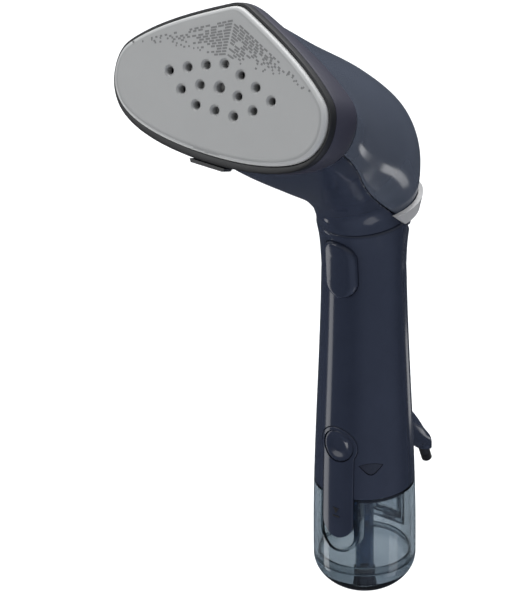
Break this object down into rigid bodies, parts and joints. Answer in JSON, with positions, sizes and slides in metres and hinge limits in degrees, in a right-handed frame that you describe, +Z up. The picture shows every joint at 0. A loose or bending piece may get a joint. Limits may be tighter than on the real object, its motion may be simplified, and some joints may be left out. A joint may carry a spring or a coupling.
{
  "type": "garment steamer",
  "caption": "Handheld garment steamer: drop-shaped heated steam plate on a gloss grip with trigger, thumb lever, and a clear pull-off water tank with a filler flap.",
  "frame": {"origin": "middle of the small flat under the water tank", "axes": "+Z up along the grip, -Y towards the steam plate and the trigger, +X across the plate"},
  "size_m": [0.111, 0.1718, 0.3295],
  "materials": {
    "navy_gloss": "high gloss",
    "slate_gloss": "high gloss",
    "navy_matte": "fine matte",
    "black_matte": "fine matte",
    "black_rubber": "matte",
    "plate_ceramic": "satin coating on aluminium",
    "lever_grey": "satin, pale grey",
    "smoky_clear": "clear smoky blue plastic",
    "cast_alloy": "as cast",
    "steel": "bright",
    "brass": "turned",
    "silicone": "milky, matte",
    "resin": "moulded",
    "board": "lacquered circuit board",
    "copper": "enamelled copper winding",
    "inner_grey": "moulded"
  },
  "bodies": {
    "handle": {"soleplate": "plate_ceramic", "plate_bezel": "black_matte", "chamber_gasket": "silicone", "boiler_block": "cast_alloy", "heating_element": "steel", "thermostat": "resin", "thermal_fuse": "silicone", "water_nozzle": "brass", "heat_frame": "black_matte", "boiler_screw_1": "steel", "boiler_screw_2": "steel", "boiler_screw_3": "steel", "head_skirt": "navy_matte", "accessory_catch": "black_matte", "handle_front_shell": "navy_gloss", "handle_rear_shell": "navy_gloss", "back_cover": "slate_gloss", "chin_cover": "navy_gloss", "shell_screw_1": "steel", "shell_screw_2": "steel", "shell_screw_3": "steel", "grip_inset": "black_matte", "front_spine": "navy_gloss", "trigger_spring": "steel", "trigger_switch": "black_matte", "button_spring": "steel", "button_carrier": "black_matte", "handle_base": "black_matte", "inlet_nipple": "black_matte", "nipple_seal": "black_rubber", "water_pump": "inner_grey", "pump_coil": "copper", "inlet_hose": "silicone", "outlet_hose": "silicone", "circuit_board": "board", "lever_switch": "black_matte", "terminal_block": "inner_grey", "cord_clamp": "inner_grey", "clamp_screw_left": "steel", "clamp_screw_right": "steel", "cord_boss": "navy_gloss", "gland_bush": "black_rubber"},
    "trigger": {"steam_trigger": "navy_gloss"},
    "release": {"release_button": "navy_matte", "tank_latch": "black_matte"},
    "tank": {"tank_body": "smoky_clear", "tank_dome": "smoky_clear", "tank_coupling": "inner_grey", "suction_tube": "smoky_clear", "intake_filter": "black_matte", "flap_pin": "steel"},
    "flap": {"filler_flap": "smoky_clear"},
    "lever": {"thumb_lever": "lever_grey"}
  },
  "joints": [
    {"name": "trigger_press", "type": "slide", "parent": "handle", "child": "trigger", "axis": [0, 1, 0], "range_m": [0, 0.0022], "stiffness_N_per_m": 400, "springref_m": -0.0015, "deforming": ["trigger_spring"]},
    {"name": "release_press", "type": "slide", "parent": "handle", "child": "release", "axis": [0, 1, 0], "range_m": [0, 0.002], "stiffness_N_per_m": 400, "springref_m": -0.0015, "deforming": ["button_spring"]},
    {"name": "tank_removal", "type": "slide", "parent": "handle", "child": "tank", "axis": [0, 0, -1], "range_m": [0, 0.06]},
    {"name": "filler_flap_hinge", "type": "hinge", "parent": "tank", "child": "flap", "pos_m": [0, 0.024, 0.0242], "axis": [-1, 0, 0], "range_deg": [0, 110]},
    {"name": "thumb_lever_pivot", "type": "hinge", "parent": "handle", "child": "lever", "pos_m": [0, 0.004, 0.1945], "axis": [-1, 0, 0], "range_deg": [0, 8]}
  ]
}
